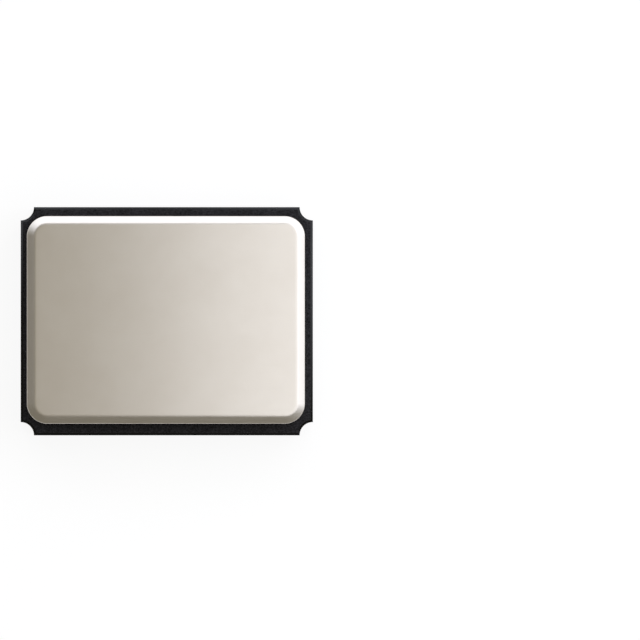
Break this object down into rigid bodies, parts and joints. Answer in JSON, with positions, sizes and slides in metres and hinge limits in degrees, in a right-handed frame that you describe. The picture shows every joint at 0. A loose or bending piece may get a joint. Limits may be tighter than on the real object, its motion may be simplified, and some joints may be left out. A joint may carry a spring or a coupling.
{
  "type": "crystal oscillator",
  "caption": "Surface-mount crystal clock oscillator: a black ceramic package with a seam-welded metal lid and gold terminals.",
  "frame": {"origin": "centre of the plane that the four terminals stand on", "axes": "+X along the long side, +Y along the short side, +Z from the terminals to the lid; pin 1 is at -X -Y and the pins count anticlockwise seen from the lid"},
  "size_m": [0.0032, 0.0024, 0.0009],
  "materials": {
    "black_ceramic": "matt, fine grained",
    "lid_metal": "satin nickel plating",
    "ring_metal": "satin nickel plating",
    "silver_braze": "satin",
    "gold_plating": "satin gold plating",
    "tungsten": "sintered",
    "quartz": "lapped",
    "electrode_film": "evaporated film",
    "silicon": "polished",
    "conductive_adhesive": "silver filled",
    "bump_gold": "bright gold"
  },
  "bodies": {
    "root": {"ceramic_body": "black_ceramic", "lid": "lid_metal", "seal_ring": "ring_metal", "seal_braze": "silver_braze", "seal_frame": "gold_plating", "lid_ground_post": "tungsten", "quartz_blank": "quartz", "top_electrode": "electrode_film", "bottom_electrode": "electrode_film", "oscillator_chip": "silicon", "terminal_1_enable": "gold_plating", "floor_post_1_enable": "tungsten", "chip_track_1_enable": "gold_plating", "terminal_2_ground": "gold_plating", "floor_post_2_ground": "tungsten", "chip_track_2_ground": "gold_plating", "terminal_3_output": "gold_plating", "floor_post_3_output": "tungsten", "chip_track_3_output": "gold_plating", "terminal_4_supply": "gold_plating", "floor_post_4_supply": "tungsten", "chip_track_4_supply": "gold_plating", "crystal_track_a": "gold_plating", "crystal_post_a": "tungsten", "crystal_land_a": "gold_plating", "adhesive_dot_a": "conductive_adhesive", "crystal_track_b": "gold_plating", "crystal_post_b": "tungsten", "crystal_land_b": "gold_plating", "adhesive_dot_b": "conductive_adhesive", "chip_bump_1": "bump_gold", "chip_bump_2": "bump_gold", "chip_bump_3": "bump_gold", "chip_bump_4": "bump_gold", "chip_bump_5": "bump_gold", "chip_bump_6": "bump_gold"}
  },
  "joints": []
}
